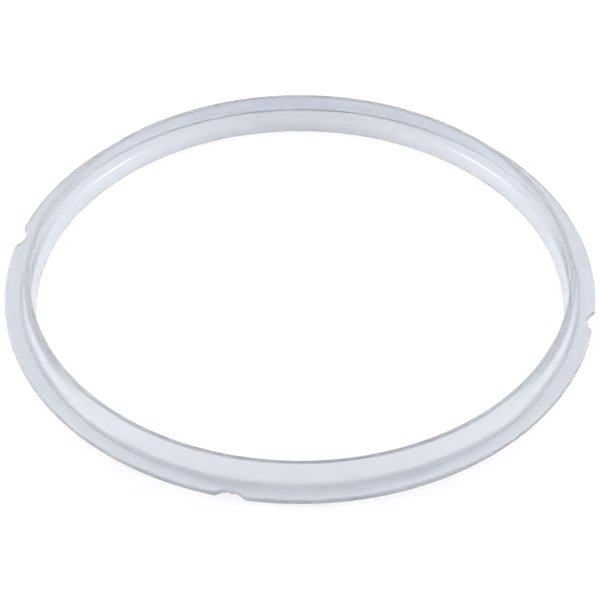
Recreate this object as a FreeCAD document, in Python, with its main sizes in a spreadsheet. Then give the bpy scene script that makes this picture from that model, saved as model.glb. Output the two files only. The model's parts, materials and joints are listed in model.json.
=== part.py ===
"""Pressure cooker sealing ring: one moulded silicone piece.

The ring is a flange with two lips at its inner side, one up and one down, parted by a groove that faces
the middle. Steam in the groove presses the lips against the lid and the pot. Four notches are cut into
the flange's edge. Millimetres, +Z up. The ring rests on the tip of its lower lip at z = 0, centred on
the Z axis, with its notches on the diagonals between X and Y.
"""

import FreeCAD, Part
import math
import os

import Sketcher

NODE = "sealing_ring"

SIZES = {
    "outer_diameter": 245.0,  # over the flange
    "flange_thickness": 2.7,
    "flange_width": 7.3,  # from the outer edge to the lips' outer faces
    "upper_lip_height": 9.4,  # above the flange
    "upper_lip_lean": 1.0,  # how far the inner face leans towards the middle, up to its tip
    "lower_lip_depth": 7.2,  # below the flange
    "lower_lip_lean": 1.9,
    "lip_thickness": 2.0,  # at the tips
    "lip_taper": 1.2,  # how much thicker the lips are where they meet the flange
    "root_fillet": 2.0,
    "groove_reach": 0.2,  # how far the groove goes into the flange, past the lips' outer faces
    "groove_level": 2.0,  # the groove's bottom, above the flange's underside
    "upper_mouth": 3.5,  # where the groove ends on the upper lip, above the flange
    "lower_mouth": 0.5,  # where it ends on the lower lip, below the flange
    "mouth_round": 2.0,
    "groove_round": 0.25,
    "tip_round": 0.5,
    "edge_round": 0.8,
    "notch_count": 4,
    "notch_depth": 2.7,
    "notch_radius": 7.3,
    "notch_corner_round": 2.0,
}

# the section's corners in order: each starts the line of the same number
EDGE_LOW, EDGE_TOP, UPPER_ROOT, UPPER_TIP_OUT, UPPER_TIP_IN = range(5)
UPPER_MOUTH, LOWER_MOUTH, LOWER_TIP_IN, LOWER_TIP_OUT, LOWER_ROOT = range(5, 10)
# the same for the groove's cutter, whose last two corners lie inside the ring's opening
CUT_UPPER, CUT_BOTTOM, CUT_LOWER, CLEAR_LOWER, CLEAR_UPPER = range(5)
ORIGIN = -1
START, END, CENTRE = 1, 2, 3

# formulas on the sheet that several constraints share
ROOT = "Sizes.outer_diameter / 2 - Sizes.flange_width"
UNDERSIDE = "Sizes.lower_lip_depth"
TOP = "Sizes.lower_lip_depth + Sizes.flange_thickness"
INNER = f"{ROOT} - Sizes.lip_taper - Sizes.lip_thickness"
UPPER_RADIUS = f"{INNER} - Sizes.upper_lip_lean * Sizes.upper_mouth / Sizes.upper_lip_height"
LOWER_RADIUS = f"{INNER} - Sizes.lower_lip_lean * Sizes.lower_mouth / Sizes.lower_lip_depth"

CLOSE = 0.01


def make_sheet(doc):
    """The spreadsheet that holds every driving size."""
    sheet = doc.addObject("Spreadsheet::Sheet", "Sizes")
    for row, (name, value) in enumerate(SIZES.items(), start=1):
        sheet.set(f"A{row}", name)
        sheet.set(f"B{row}", str(value))
        sheet.setAlias(f"B{row}", name)
    doc.recompute()
    return sheet


def section_corners(sheet):
    """Radius and height of each corner of the section, before any rounding."""
    edge = sheet.outer_diameter / 2
    root = edge - sheet.flange_width
    inner = root - sheet.lip_taper - sheet.lip_thickness
    low = sheet.lower_lip_depth
    top = low + sheet.flange_thickness
    rim = top + sheet.upper_lip_height
    upper_tip = inner - sheet.upper_lip_lean
    lower_tip = inner - sheet.lower_lip_lean
    upper_shift = sheet.upper_lip_lean * sheet.upper_mouth / sheet.upper_lip_height
    lower_shift = sheet.lower_lip_lean * sheet.lower_mouth / low
    return [
        (edge, low),
        (edge, top),
        (root, top),
        (upper_tip + sheet.lip_thickness, rim),
        (upper_tip, rim),
        (inner - upper_shift, top + sheet.upper_mouth),
        (inner - lower_shift, low - sheet.lower_mouth),
        (lower_tip, 0),
        (lower_tip + sheet.lip_thickness, 0),
        (root, low),
    ]


def groove_corners(sheet):
    """The same for the cutter of the groove, from the upper lip round to the ring's opening."""
    section = section_corners(sheet)
    root = section[UPPER_ROOT][0]
    upper, lower = section[UPPER_MOUTH], section[LOWER_MOUTH]
    clear = section[LOWER_TIP_IN][0] - sheet.lip_thickness
    bottom = (root + sheet.groove_reach, sheet.lower_lip_depth + sheet.groove_level)
    return [upper, bottom, lower, (clear, lower[1]), (clear, upper[1])]


def add_sketch(body, name, role):
    """An empty sketch on the origin plane of the body that has this role."""
    sketch = body.newObject("Sketcher::SketchObject", name)
    plane = next(feature for feature in body.Origin.OriginFeatures if feature.Role == role)
    sketch.AttachmentSupport = [(plane, "")]
    sketch.MapMode = "FlatFace"
    return sketch


def draw_outline(sketch, corners, horizontal, vertical):
    """A closed outline of straight lines through the corners, with its level and upright lines."""
    points = [FreeCAD.Vector(radius, height, 0) for radius, height in corners]
    for here, there in zip(points, points[1:] + points[:1]):
        sketch.addGeometry(Part.LineSegment(here, there))
    for line in range(len(points)):
        following = (line + 1) % len(points)
        sketch.addConstraint(Sketcher.Constraint("Coincident", line, END, following, START))
    for line in horizontal:
        sketch.addConstraint(Sketcher.Constraint("Horizontal", line))
    for line in vertical:
        sketch.addConstraint(Sketcher.Constraint("Vertical", line))


def tie(sketch, kind, lengths):
    """Ties lengths between corners to the sheet, each running outwards or up."""
    for name, (here, there, formula) in lengths.items():
        span = sketch.getPoint(there, START) - sketch.getPoint(here, START)
        length = span.x if kind == "DistanceX" else span.y
        index = sketch.addConstraint(Sketcher.Constraint(kind, here, START, there, START, length))
        sketch.renameConstraint(index, name)
        sketch.setExpression(f"Constraints.{name}", formula)


def draw_section(body, sheet):
    """The flange with its two lips, on the XZ plane, before the groove is cut."""
    sketch = add_sketch(body, "Section", "XZ_Plane")
    level = (EDGE_TOP, UPPER_TIP_OUT, LOWER_TIP_IN, LOWER_ROOT)
    draw_outline(sketch, section_corners(sheet), level, (EDGE_LOW,))
    sketch.addConstraint(Sketcher.Constraint("Vertical", LOWER_ROOT, START, UPPER_ROOT, START))
    sketch.addConstraint(Sketcher.Constraint("PointOnObject", LOWER_TIP_IN, START, ORIGIN))
    across = {
        "outer_radius": (ORIGIN, EDGE_LOW, "Sizes.outer_diameter / 2"),
        "flange_width": (UPPER_ROOT, EDGE_TOP, "Sizes.flange_width"),
        "upper_lean": (UPPER_TIP_OUT, UPPER_ROOT, "Sizes.upper_lip_lean + Sizes.lip_taper"),
        "lower_lean": (LOWER_TIP_OUT, LOWER_ROOT, "Sizes.lower_lip_lean + Sizes.lip_taper"),
        "upper_tip": (UPPER_TIP_IN, UPPER_TIP_OUT, "Sizes.lip_thickness"),
        "lower_tip": (LOWER_TIP_IN, LOWER_TIP_OUT, "Sizes.lip_thickness"),
        "upper_radius": (ORIGIN, UPPER_MOUTH, UPPER_RADIUS),
        "lower_radius": (ORIGIN, LOWER_MOUTH, LOWER_RADIUS),
    }
    up = {
        "lower_depth": (ORIGIN, EDGE_LOW, UNDERSIDE),
        "thickness": (EDGE_LOW, EDGE_TOP, "Sizes.flange_thickness"),
        "upper_height": (UPPER_ROOT, UPPER_TIP_OUT, "Sizes.upper_lip_height"),
        "upper_mouth": (UPPER_ROOT, UPPER_MOUTH, "Sizes.upper_mouth"),
        "lower_mouth": (LOWER_MOUTH, LOWER_ROOT, "Sizes.lower_mouth"),
    }
    tie(sketch, "DistanceX", across)
    tie(sketch, "DistanceY", up)
    return sketch


def draw_groove(body, sheet):
    """The cutter of the groove, on the XZ plane: it meets the lips' inner faces at the two mouths."""
    sketch = add_sketch(body, "GrooveSection", "XZ_Plane")
    draw_outline(sketch, groove_corners(sheet), (CUT_LOWER, CLEAR_UPPER), (CLEAR_LOWER,))
    across = {
        "upper_radius": (ORIGIN, CUT_UPPER, UPPER_RADIUS),
        "bottom_radius": (ORIGIN, CUT_BOTTOM, f"{ROOT} + Sizes.groove_reach"),
        "lower_radius": (ORIGIN, CUT_LOWER, LOWER_RADIUS),
        "clear_radius": (ORIGIN, CLEAR_UPPER, f"{INNER} - Sizes.lower_lip_lean - Sizes.lip_thickness"),
    }
    up = {
        "upper_level": (ORIGIN, CUT_UPPER, f"{TOP} + Sizes.upper_mouth"),
        "bottom_level": (ORIGIN, CUT_BOTTOM, f"{UNDERSIDE} + Sizes.groove_level"),
        "lower_level": (ORIGIN, CUT_LOWER, f"{UNDERSIDE} - Sizes.lower_mouth"),
    }
    tie(sketch, "DistanceX", across)
    tie(sketch, "DistanceY", up)
    return sketch


def turn(body, kind, name, sketch):
    """Adds or cuts the sketch's outline turned once about the Z axis."""
    feature = body.newObject(kind, name)
    feature.Profile = sketch
    feature.ReferenceAxis = (sketch, ["V_Axis"])
    feature.Angle = 360
    body.Document.recompute()
    return feature


def draw_notch(body, sheet):
    """The circle that cuts the first notch, on the XY plane turned by half the notches' pitch."""
    sketch = add_sketch(body, "NotchCircle", "XY_Plane")
    sketch.setExpression("AttachmentOffset.Rotation.Angle", "180 deg / Sizes.notch_count")
    centre = sheet.outer_diameter / 2 - sheet.notch_depth + sheet.notch_radius
    sketch.addGeometry(
        Part.Circle(FreeCAD.Vector(centre, 0, 0), FreeCAD.Vector(0, 0, 1), sheet.notch_radius)
    )
    sketch.addConstraint(Sketcher.Constraint("PointOnObject", 0, CENTRE, ORIGIN))
    where = sketch.addConstraint(Sketcher.Constraint("DistanceX", ORIGIN, START, 0, CENTRE, centre))
    sketch.renameConstraint(where, "centre")
    place = "Sizes.outer_diameter / 2 - Sizes.notch_depth + Sizes.notch_radius"
    sketch.setExpression("Constraints.centre", place)
    size = sketch.addConstraint(Sketcher.Constraint("Radius", 0, sheet.notch_radius))
    sketch.renameConstraint(size, "radius")
    sketch.setExpression("Constraints.radius", "Sizes.notch_radius")
    return sketch


def cut_notches(body, sheet):
    """Round notches in the flange's edge, evenly round the Z axis."""
    sketch = draw_notch(body, sheet)
    notch = body.newObject("PartDesign::Pocket", "Notch")
    notch.Profile = sketch
    notch.Type = "ThroughAll"
    notch.Reversed = True  # up from the XY plane
    around = body.newObject("PartDesign::PolarPattern", "Notches")
    around.Originals = [notch]
    around.Axis = (sketch, ["N_Axis"])
    around.Angle = 360
    around.setExpression("Occurrences", "Sizes.notch_count")
    body.Tip = around
    body.Document.recompute()


def circles_at(shape, corners):
    """Names of the edges that are circles round the Z axis through any of these corners."""
    names = []
    for number, edge in enumerate(shape.Edges, start=1):
        if not isinstance(edge.Curve, Part.Circle):
            continue
        centre, radius = edge.Curve.Center, edge.Curve.Radius
        on_axis = math.hypot(centre.x, centre.y) < CLOSE
        if on_axis and any(math.hypot(radius - r, centre.z - z) < CLOSE for r, z in corners):
            names.append(f"Edge{number}")
    return names


def notch_corners(shape, sheet):
    """Names of the upright edges where the notches meet the flange's outer edge."""
    names = []
    for number, edge in enumerate(shape.Edges, start=1):
        middle = edge.CenterOfMass
        upright = edge.BoundBox.ZLength > edge.Length - CLOSE
        if upright and abs(math.hypot(middle.x, middle.y) - sheet.outer_diameter / 2) < CLOSE:
            names.append(f"Edge{number}")
    return names


def flange_outline(shape, sheet):
    """Names of the level edges round the flange and through its notches, above and below."""
    levels = (sheet.lower_lip_depth, sheet.lower_lip_depth + sheet.flange_thickness)
    deepest = sheet.outer_diameter / 2 - sheet.notch_depth
    names = []
    for number, edge in enumerate(shape.Edges, start=1):
        middle = edge.valueAt((edge.FirstParameter + edge.LastParameter) / 2)
        level = edge.BoundBox.ZLength < CLOSE and any(abs(middle.z - z) < CLOSE for z in levels)
        if level and math.hypot(middle.x, middle.y) > deepest - CLOSE:
            names.append(f"Edge{number}")
    return names


def round_edges(body, name, edges, size):
    """Rounds the named edges of the body's shape by a size of the sheet."""
    if not edges:
        raise RuntimeError(f"{name}: no edges to round")
    before = body.Tip
    fillet = body.newObject("PartDesign::Fillet", name)
    fillet.Base = (before, edges)
    fillet.setExpression("Radius", f"Sizes.{size}")
    body.Tip = fillet
    body.Document.recompute()


def round_corners(body, name, corners, size):
    """Rounds the section's corners at these radii and heights."""
    round_edges(body, name, circles_at(body.Tip.Shape, corners), size)


def make_ring(doc, sheet):
    """The sealing ring, one body."""
    body = doc.addObject("PartDesign::Body", "SealingRing")
    body.Label = NODE
    section = section_corners(sheet)
    turn(body, "PartDesign::Revolution", "FlangeAndLips", draw_section(body, sheet))
    round_corners(body, "RootFillets", [section[UPPER_ROOT], section[LOWER_ROOT]], "root_fillet")

    whole = body.Tip.Shape.Volume
    turn(body, "PartDesign::Groove", "Groove", draw_groove(body, sheet))
    round_corners(body, "MouthRounds", [section[UPPER_MOUTH], section[LOWER_MOUTH]], "mouth_round")
    round_corners(body, "GrooveRound", [groove_corners(sheet)[CUT_BOTTOM]], "groove_round")
    round_corners(body, "UpperTipRounds", section[UPPER_TIP_OUT : UPPER_TIP_IN + 1], "tip_round")
    round_corners(body, "LowerTipRounds", section[LOWER_TIP_IN : LOWER_TIP_OUT + 1], "tip_round")

    grooved = body.Tip.Shape.Volume
    cut_notches(body, sheet)
    if not body.Tip.Shape.Volume < grooved < whole:
        raise RuntimeError("the groove or the notches cut nothing")
    round_edges(body, "NotchCorners", notch_corners(body.Tip.Shape, sheet), "notch_corner_round")
    round_edges(body, "EdgeRounds", flange_outline(body.Tip.Shape, sheet), "edge_round")
    return body


def check(doc, body):
    """Stops if an object failed or the ring isn't one valid solid."""
    for item in doc.Objects:
        if "Invalid" in item.State or "Error" in item.State:
            raise RuntimeError(f"{item.Name}: {item.State}")
    shape = body.Shape
    if shape.isNull() or not shape.isValid() or len(shape.Solids) != 1:
        raise RuntimeError("the ring isn't one valid solid")


def main():
    doc = FreeCAD.newDocument("SealingRing")
    sheet = make_sheet(doc)
    ring = make_ring(doc, sheet)
    doc.recompute()
    check(doc, ring)
    os.makedirs("parts", exist_ok=True)
    ring.Shape.exportStep(f"parts/{NODE}.step")
    box = ring.Shape.optimalBoundingBox(False)
    print(f"{NODE}: {box.XLength:.2f} x {box.YLength:.2f} x {box.ZLength:.2f} mm")
    print(f"volume: {ring.Shape.Volume:.0f} mm3")


main()
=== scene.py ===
# %% [markdown]
# # A pressure cooker sealing ring
# The ring is one moulding of translucent silicone. Its flange sits in the lid's rolled channel, and its two
# lips, one up and one down, are pressed against lid and pot by the steam in the groove between them. The
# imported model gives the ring's place and size. This lesson models the same ring with finer curves, gives it
# its material, and lights it like a small part on a white table.

# %% Load the frame
import json
import math

import bmesh
import bpy
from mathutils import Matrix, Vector


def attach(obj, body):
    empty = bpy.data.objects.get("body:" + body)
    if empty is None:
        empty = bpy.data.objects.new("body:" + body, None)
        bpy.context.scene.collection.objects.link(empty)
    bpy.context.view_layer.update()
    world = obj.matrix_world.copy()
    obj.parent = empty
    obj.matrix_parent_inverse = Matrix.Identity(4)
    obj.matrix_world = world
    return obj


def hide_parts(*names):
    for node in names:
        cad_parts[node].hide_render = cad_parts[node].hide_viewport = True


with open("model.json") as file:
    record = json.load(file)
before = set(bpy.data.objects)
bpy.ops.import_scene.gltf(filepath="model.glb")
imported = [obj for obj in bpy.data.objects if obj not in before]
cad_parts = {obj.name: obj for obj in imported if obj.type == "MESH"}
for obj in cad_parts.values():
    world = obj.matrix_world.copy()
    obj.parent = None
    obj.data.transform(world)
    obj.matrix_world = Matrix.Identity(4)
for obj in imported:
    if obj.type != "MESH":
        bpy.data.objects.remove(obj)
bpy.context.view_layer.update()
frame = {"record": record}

MM = 0.001  # metres
NODE = "sealing_ring"

bpy.ops.object.select_all(action="DESELECT")

# %% [markdown]
# ## The camera
# A flat ring is best seen from well above, so that its whole opening shows, and from far away with a long
# lens, so that its near and far sides look alike. A long lens needs an exact place, so the camera's place is
# worked out from the ring's own radius. It looks at the ring's axis at the level of the flange's underside,
# and a small shift of the lens centres the ring in the frame without tilting anything.

# %% Place the camera
mounts = {mount["name"]: mount for mount in frame["record"]["mounts"]}
OUTER = mounts["flange_edge"]["dims"]["r_mm"]  # millimetres, as are all sizes of the section
UNDERSIDE, TOP = 7.2, 9.9  # levels of the flange's two faces
VIEW_AZIMUTH = math.radians(57.3)  # from the X axis to the right of the view
VIEW_ELEVATION = math.radians(42.6)
VIEW_DISTANCE = 6.6 * OUTER * MM
SENSOR_WIDTH, LENS = 36, 116.1
SHIFT_UP = -0.0305  # in frame widths; below zero it moves the ring up
NEAREST = 0.01  # metres, the nearest that the camera draws

look = Vector((
    -math.sin(VIEW_AZIMUTH) * math.cos(VIEW_ELEVATION),
    math.cos(VIEW_AZIMUTH) * math.cos(VIEW_ELEVATION),
    -math.sin(VIEW_ELEVATION),
))
bpy.ops.object.camera_add(
    location=Vector((0, 0, UNDERSIDE * MM)) - look * VIEW_DISTANCE,
    rotation=look.to_track_quat("-Z", "Y").to_euler(),
)
camera = bpy.context.object
camera.data.sensor_width = SENSOR_WIDTH
camera.data.lens = LENS
camera.data.shift_y = SHIFT_UP
camera.data.clip_start = NEAREST
bpy.context.scene.camera = camera
print("camera:", [round(value, 3) for value in camera.location])

# %% [markdown]
# ## The section
# Every cut through the ring looks the same apart from its four notches, so the ring is one outline turned
# about the Z axis. The outline could be drawn point by point along each curve, but a maker's drawing gives
# sharp corners and a radius for each, and that is easier to read and to change. So the outline starts as a
# circle of eleven corners that are moved to their places. The flange's outer corners stay sharp for now,
# because the notches are cut through them first.

# %% Sizes of the section
# name: (radius, level, round), in millimetres
CORNERS = {
    "flange_edge_low": (OUTER, UNDERSIDE, 0),
    "flange_edge_top": (OUTER, TOP, 0),
    "upper_root": (115.2, TOP, 2.0),
    "upper_tip_out": (113.0, 19.3, 0.5),
    "upper_tip_in": (111.0, 19.3, 0.5),
    "upper_mouth": (111.63, 13.4, 2.0),
    "groove_bottom": (115.4, 9.2, 0.25),
    "lower_mouth": (111.87, 6.7, 2.0),
    "lower_tip_in": (110.1, 0, 0.5),
    "lower_tip_out": (112.1, 0, 0.5),
    "lower_root": (115.2, UNDERSIDE, 2.0),
}
START_RADIUS = 4 * MM  # of the circle that the outline starts from
places = [Vector((radius * MM, 0, level * MM)) for radius, level, _ in CORNERS.values()]
print("corners of the section:", len(places))


# %% Move the corners of a circle to the section's corners
def select_only(mesh_object, kind, wanted):
    """Selects the vertices or edges of the mesh being edited for which wanted(element) is true."""
    mesh = bmesh.from_edit_mesh(mesh_object.data)
    bpy.ops.mesh.select_all(action="DESELECT")
    found = [item for item in getattr(mesh, kind) if wanted(item)]
    for item in found:
        item.select_set(True)
    mesh.select_flush_mode()
    bmesh.update_edit_mesh(mesh_object.data)
    return len(found)


QUARTER = math.pi / 2
bpy.ops.mesh.primitive_circle_add(vertices=len(places), radius=START_RADIUS, rotation=(QUARTER, 0, 0))
ring = bpy.context.object
ring.name = ring.data.name = "silicone_ring"
bpy.ops.object.transform_apply(rotation=True)
bpy.ops.object.mode_set(mode="EDIT")
bpy.ops.mesh.select_mode(type="VERT")
for number, place in enumerate(places):
    start = ring.data.vertices[number].co.copy()
    select_only(ring, "verts", lambda vertex: vertex.index == number)
    bpy.ops.transform.translate(value=place - start)
print("outline:", len(ring.data.vertices), "corners")

# %% [markdown]
# ## The rounds of the section
# A bevel of a corner point puts an arc between its two lines. The bevel wants the distance from the corner
# to where the arc starts, not the radius: for a corner that turns by an angle, that is the radius times the
# tangent of half the angle. Each arc gets its number of segments from the same angle.


# %% Round the section's corners
def turn_at(number):
    """The angle by which the outline turns at this corner."""
    before, here, after = (places[(number + step) % len(places)] for step in (-1, 0, 1))
    return (here - before).angle(after - here)


STEP_ANGLE = math.radians(9)  # of an arc, per segment
FEWEST_SEGMENTS = 4
SMALL = 0.01 * MM  # places closer than this are the same
for number, (name, (_, _, radius)) in enumerate(CORNERS.items()):
    if not radius:
        continue
    turn = turn_at(number)
    count = select_only(ring, "verts", lambda vertex: (vertex.co - places[number]).length < SMALL)
    bpy.ops.mesh.bevel(
        offset=radius * MM * math.tan(turn / 2),
        offset_pct=0,
        segments=max(FEWEST_SEGMENTS, round(turn / STEP_ANGLE)),
        profile=0.5,
        affect="VERTICES",
        clamp_overlap=False,
    )
    print(f"{name}: {count} corner, turns {math.degrees(turn):.0f} degrees, radius {radius} mm")

# %% [markdown]
# ## Turn the section into a ring
# Spin copies the outline round the Z axis and joins the copies with faces. Its last copy lies on the first,
# so the doubles are merged. Spin can leave the faces pointing inwards, so the normals are worked out again
# after that. 344 copies keep a step at about two millimetres of the edge, too short to see, and leave
# a millimetre free on both sides of each notch corner, which its round needs.

# %% Spin the outline
COPIES = 344
MERGE = 0.001 * MM


def merge_and_orient():
    """Merges points that lie on each other, turns all faces outwards, and leaves edit mode."""
    bpy.ops.mesh.select_all(action="SELECT")
    bpy.ops.mesh.remove_doubles(threshold=MERGE)
    bpy.ops.mesh.normals_make_consistent(inside=False)
    bpy.ops.object.mode_set(mode="OBJECT")


bpy.ops.mesh.select_all(action="SELECT")
bpy.ops.mesh.spin(steps=COPIES, angle=math.tau, center=(0, 0, 0), axis=(0, 0, 1))
merge_and_orient()
print("ring:", len(ring.data.vertices), "points,", len(ring.data.polygons), "faces")

# %% [markdown]
# ## The notches
# The flange's edge has four round notches, a quarter turn apart. They could be modelled into the faces by
# hand, but a notch is quickest cut as in a workshop: with a round cutter that is taken away by a Boolean.
# One cutter of four pillars does all four.

# %% Cut the notches
NOTCHES, NOTCH_DEPTH, NOTCH_RADIUS, NOTCH_SIDES = 4, 2.7, 7.3, 28
PILLAR_LENGTH = 8  # well over the flange's thickness
reach = (OUTER - NOTCH_DEPTH + NOTCH_RADIUS) * MM
middle = (UNDERSIDE + TOP) / 2 * MM
pillars = []
for number in range(NOTCHES):
    around = math.pi / 4 + number * QUARTER
    bpy.ops.mesh.primitive_cylinder_add(
        vertices=NOTCH_SIDES,
        radius=NOTCH_RADIUS * MM,
        depth=PILLAR_LENGTH * MM,
        location=(reach * math.cos(around), reach * math.sin(around), middle),
        rotation=(0, 0, around + QUARTER),  # turns a corner of the cutter to the ring's middle
    )
    pillars.append(bpy.context.object)
for pillar in pillars:
    pillar.select_set(True)
bpy.ops.object.join()
cutter = bpy.context.object

bpy.ops.object.select_all(action="DESELECT")
ring.select_set(True)
bpy.context.view_layer.objects.active = ring
cut = ring.modifiers.new("notches", "BOOLEAN")
cut.operation = "DIFFERENCE"
cut.solver = "EXACT"
cut.object = cutter
bpy.ops.object.modifier_apply(modifier=cut.name)
bpy.data.objects.remove(cutter)
print("notched ring:", len(ring.data.polygons), "faces")

# %% [markdown]
# ## The edges of the flange
# A moulded edge is never sharp. First the notches' upright corners are rounded, then the whole outline of
# the flange, above and below. The edges are found by their place and by the angle between their two faces.

# %% Round the notch corners and the flange's outline
NOTCH_CORNER_ROUND = 2.0
NOTCH_CORNER_TURN = math.radians(52.2)  # between the flange's edge and the notch's, where they meet
EDGE_ROUND = 0.8
ROUND_SEGMENTS = 6
UPRIGHT = 2  # an edge that rises by more than this goes through the flange from face to face
CORNER_ANGLE, OUTLINE_ANGLE = math.radians(30), math.radians(60)  # faces that meet at more are a corner
EDGE_SLACK, NOTCH_SLACK = 0.05, 0.1  # flat faces between the copies lie a little inside the true circle


def least_radius(edge):
    """The smaller distance of the edge's two ends from the ring's axis, in millimetres."""
    return min(math.hypot(vertex.co.x, vertex.co.y) for vertex in edge.verts) / MM


def rise(edge):
    """How far the edge climbs."""
    one, other = edge.verts
    return abs(one.co.z - other.co.z)


def is_notch_corner(edge):
    upright = rise(edge) > UPRIGHT * MM and edge.is_manifold
    return upright and least_radius(edge) > OUTER - EDGE_SLACK and edge.calc_face_angle() > CORNER_ANGLE


def is_outline(edge):
    level = rise(edge) < SMALL and edge.is_manifold
    outside = least_radius(edge) > OUTER - NOTCH_DEPTH - NOTCH_SLACK
    return level and outside and edge.calc_face_angle() > OUTLINE_ANGLE


def round_edges(offset):
    """Rounds the selected edges."""
    bpy.ops.mesh.bevel(
        offset=offset, offset_pct=0, segments=ROUND_SEGMENTS, profile=0.5, affect="EDGES", clamp_overlap=False,
    )


bpy.ops.object.mode_set(mode="EDIT")
bpy.ops.mesh.select_mode(type="EDGE")
count = select_only(ring, "edges", is_notch_corner)
round_edges(NOTCH_CORNER_ROUND * MM * math.tan(NOTCH_CORNER_TURN / 2))
print("notch corners:", count)
count = select_only(ring, "edges", is_outline)
round_edges(EDGE_ROUND * MM)
print("edges of the outline:", count)
merge_and_orient()

# %% [markdown]
# ## Smooth shading
# The ring has no sharp edge left, so all its faces are shaded smooth. On the flat flange, plain smooth
# shading would bend the light near the edge rounds, because each point's normal is an even mean of its
# faces. Weighted normals count large faces more, so the flat stays flat.

# %% Shade the ring smooth
FACE_AREA_WEIGHT = 80  # of 100; 50 would count all faces alike
bpy.ops.object.shade_smooth()
weight = ring.modifiers.new("flat faces stay flat", "WEIGHTED_NORMAL")
weight.weight = FACE_AREA_WEIGHT
bpy.ops.object.modifier_apply(modifier=weight.name)

measure = bmesh.new()
measure.from_mesh(ring.data)
open_edges = sum(not edge.is_manifold for edge in measure.edges)
print(f"volume: {measure.calc_volume() / MM ** 3:.0f} mm3, open edges: {open_edges}")
measure.free()

# %% [markdown]
# ## The material: translucent silicone
# Food-grade silicone rubber without pigment is milky: most light goes through, but it is spread on the way,
# and a little is scattered back from inside. It could be a volume of fine particles, which is slow and noisy
# and is lost when the model is exported. Here three quarters of the light are transmitted through a slightly
# rough surface, and the rest scatters under the surface. The fine grain of the mould makes the gloss soft.


# %% Helpers for materials
def linear(hex_colour):
    """The linear colour of an sRGB value of six hex digits."""
    parts = [int(hex_colour[start:start + 2], 16) / 255 for start in (0, 2, 4)]
    return [part / 12.92 if part <= 0.04045 else ((part + 0.055) / 1.055) ** 2.4 for part in parts] + [1]


def add_node(tree, kind, values=None, links=None, **settings):
    """Adds a node with its settings, the values of its inputs, and links to its inputs."""
    node = tree.nodes.new(kind)
    for name, value in settings.items():
        setattr(node, name, value)
    for socket, value in (values or {}).items():
        node.inputs[socket].default_value = value
    for socket, source in (links or {}).items():
        tree.links.new(source, node.inputs[socket])
    return node


DENSE_TINT, THIN_TINT = linear("E0E4EC"), linear("E4E8EF")  # where the milky haze is densest and thinnest
print("milky tints:", [[round(part, 3) for part in tint] for tint in (DENSE_TINT, THIN_TINT)])

# %% Translucent silicone rubber, compression moulded
TRANSMITTED = 0.75  # share of the light that goes through
REFRACTIVE_INDEX = 1.41  # of silicone rubber
SCATTER_DEPTH = 6 * MM
CLOUDS_PER_METRE, GRAINS_PER_METRE = 50, 1250
GRAIN_HEIGHT, GRAIN_STRENGTH = 0.05 * MM, 0.1
# handling polishes some places a little more than others; all stay under 0.27, because the renderer's
# noise filter takes a rougher surface for matt, and would draw an outline round each such patch
SMOOTHEST, ROUGHEST = 0.22, 0.27

silicone = bpy.data.materials.new("silicone_rubber_moulded")
silicone.use_nodes = True
tree = silicone.node_tree
rubber = tree.nodes["Principled BSDF"]
rubber.inputs["Transmission Weight"].default_value = TRANSMITTED
rubber.inputs["IOR"].default_value = REFRACTIVE_INDEX
rubber.inputs["Subsurface Weight"].default_value = 1
rubber.inputs["Subsurface Radius"].default_value = (1, 1, 1)  # all colours go equally deep
rubber.inputs["Subsurface Scale"].default_value = SCATTER_DEPTH

place = add_node(tree, "ShaderNodeTexCoord").outputs["Object"]
# the cure leaves clouds of slightly more and less haze, about 20 mm apart
clouds = add_node(tree, "ShaderNodeTexNoise", {"Scale": CLOUDS_PER_METRE, "Detail": 2}, {"Vector": place})
# the mix node has its sockets once for each type of data; 6, 7 and the output 2 are those for colours
tint = add_node(tree, "ShaderNodeMix", {6: DENSE_TINT, 7: THIN_TINT}, {0: clouds.outputs["Fac"]},
                data_type="RGBA")
tree.links.new(tint.outputs[2], rubber.inputs["Base Color"])
polish = add_node(tree, "ShaderNodeMapRange", {"To Min": SMOOTHEST, "To Max": ROUGHEST},
                  {"Value": clouds.outputs["Fac"]})
tree.links.new(polish.outputs["Result"], rubber.inputs["Roughness"])
# the mould's grain is about 0.1 mm; it is drawn at 0.8 mm, the finest that shows
grain = add_node(tree, "ShaderNodeTexNoise", {"Scale": GRAINS_PER_METRE, "Detail": 1}, {"Vector": place})
bump = add_node(tree, "ShaderNodeBump", {"Strength": GRAIN_STRENGTH, "Distance": GRAIN_HEIGHT},
                {"Height": grain.outputs["Fac"]})
tree.links.new(bump.outputs["Normal"], rubber.inputs["Normal"])
ring.data.materials.append(silicone)
print("material:", silicone.name)

# %% Tie the ring to the model
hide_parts(NODE)
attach(ring, "root")
print("ring stands for", NODE)

# %% [markdown]
# ## The table
# The ring lies on a white table that reaches far in all directions. A plain matt table would have to be lit
# very brightly to look white, and the ring would be too bright on it. So the table is a mix of two surfaces.
# Where it is seen directly, by reflection or through the ring, most of its white is its own glow, and a
# matt share takes the ring's soft shadow. For all other light it is plain matt white.

# %% Make the table
TABLE_SIZE = 40  # metres, so that its end is never seen
GLOW, MATT_SHARE = 0.63, 0.44  # of the table that is seen
MATT_OTHER = 0.88  # for all other light


def grey(brightness):
    """The opaque grey of this linear brightness."""
    return (brightness,) * 3 + (1,)


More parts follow.
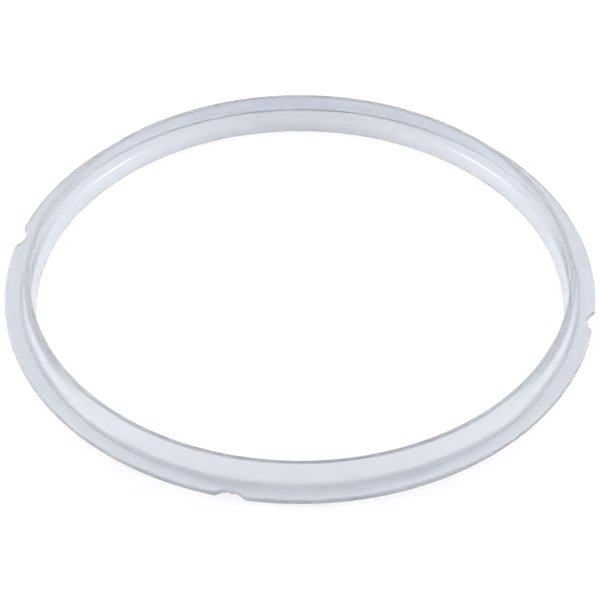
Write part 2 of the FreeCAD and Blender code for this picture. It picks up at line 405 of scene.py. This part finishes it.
bpy.ops.mesh.primitive_plane_add(size=TABLE_SIZE)
table = bpy.context.object
table.name = "table"
paint = bpy.data.materials.new("matt_white_table")
paint.use_nodes = True
tree = paint.node_tree
tree.nodes.clear()
ray = add_node(tree, "ShaderNodeLightPath")
seen = ray.outputs["Is Camera Ray"]
for kind in ("Is Glossy Ray", "Is Transmission Ray"):
    either = add_node(tree, "ShaderNodeMath", links={0: seen, 1: ray.outputs[kind]}, operation="MAXIMUM")
    seen = either.outputs[0]
glow = add_node(tree, "ShaderNodeEmission", {"Strength": GLOW})
share = add_node(tree, "ShaderNodeBsdfDiffuse", {"Color": grey(MATT_SHARE)})
both = add_node(tree, "ShaderNodeAddShader", links={0: glow.outputs[0], 1: share.outputs[0]})
matt = add_node(tree, "ShaderNodeBsdfDiffuse", {"Color": grey(MATT_OTHER)})
surface = add_node(tree, "ShaderNodeMixShader", links={0: seen, 1: matt.outputs[0], 2: both.outputs[0]})
add_node(tree, "ShaderNodeOutputMaterial", links={"Surface": surface.outputs[0]})
table.data.materials.append(paint)
print("table:", table.name)

# %% [markdown]
# ## The light
# A pale dome gives even light. It is white at the horizon, where the table meets it, dimmer half-way up, and
# brightest overhead. Two soft lamps stand low at the left and right of the view and give the lips their long
# highlights. Separate area lights would do the same. As patches of the dome they are seen by reflection and
# through the ring like the rest of it.

# %% Light the ring
DOME = ((-90, 1.0), (3, 1.0), (12, 0.7), (50, 0.53), (90, 1.1))  # elevation in degrees, brightness
TOP_LEVEL = 2.0  # the ramp holds colours up to 1, so it is scaled up after
# name: (degrees round from the right of the view, elevation, reach, brightness)
LAMPS = {"right": (-10, 20, 12, 14.5), "left": (190, 20, 12, 14.5)}
INNER_REACH, OUTER_REACH = 0.7, 1.3  # a lamp fades from full to none between these shares of its reach

world = bpy.data.worlds.new("studio")
bpy.context.scene.world = world
world.use_nodes = True
tree = world.node_tree
background = tree.nodes["Background"]
direction = add_node(tree, "ShaderNodeTexCoord").outputs["Generated"]
height = add_node(tree, "ShaderNodeSeparateXYZ", links={0: direction}).outputs["Z"]
level = add_node(tree, "ShaderNodeMapRange", {"From Min": -1}, {"Value": height})
dome = add_node(tree, "ShaderNodeValToRGB", links={"Fac": level.outputs["Result"]})
while len(dome.color_ramp.elements) < len(DOME):
    dome.color_ramp.elements.new(0.5)
for element, (elevation, brightness) in zip(dome.color_ramp.elements, DOME):
    element.position = (math.sin(math.radians(elevation)) + 1) / 2
    element.color = grey(brightness / TOP_LEVEL)
light = add_node(tree, "ShaderNodeVectorMath", {"Scale": TOP_LEVEL}, {0: dome.outputs["Color"]},
                 operation="SCALE").outputs[0]
for turn, up, reach, brightness in LAMPS.values():
    around, up, reach = VIEW_AZIMUTH + math.radians(turn), math.radians(up), math.radians(reach)
    lamp = (math.cos(around) * math.cos(up), math.sin(around) * math.cos(up), math.sin(up))
    near = add_node(tree, "ShaderNodeVectorMath", {1: lamp}, {0: direction}, operation="DOT_PRODUCT")
    outside, inside = math.cos(OUTER_REACH * reach), math.cos(INNER_REACH * reach)
    soft = add_node(
        tree, "ShaderNodeMapRange", {"From Min": outside, "From Max": inside, "To Max": brightness},
        {"Value": near.outputs["Value"]}, interpolation_type="SMOOTHSTEP",
    )
    light = add_node(tree, "ShaderNodeVectorMath", links={0: light, 1: soft.outputs["Result"]}).outputs[0]
tree.links.new(light, background.inputs["Color"])
bpy.context.scene.view_settings.view_transform = "Standard"
print("world:", world.name)
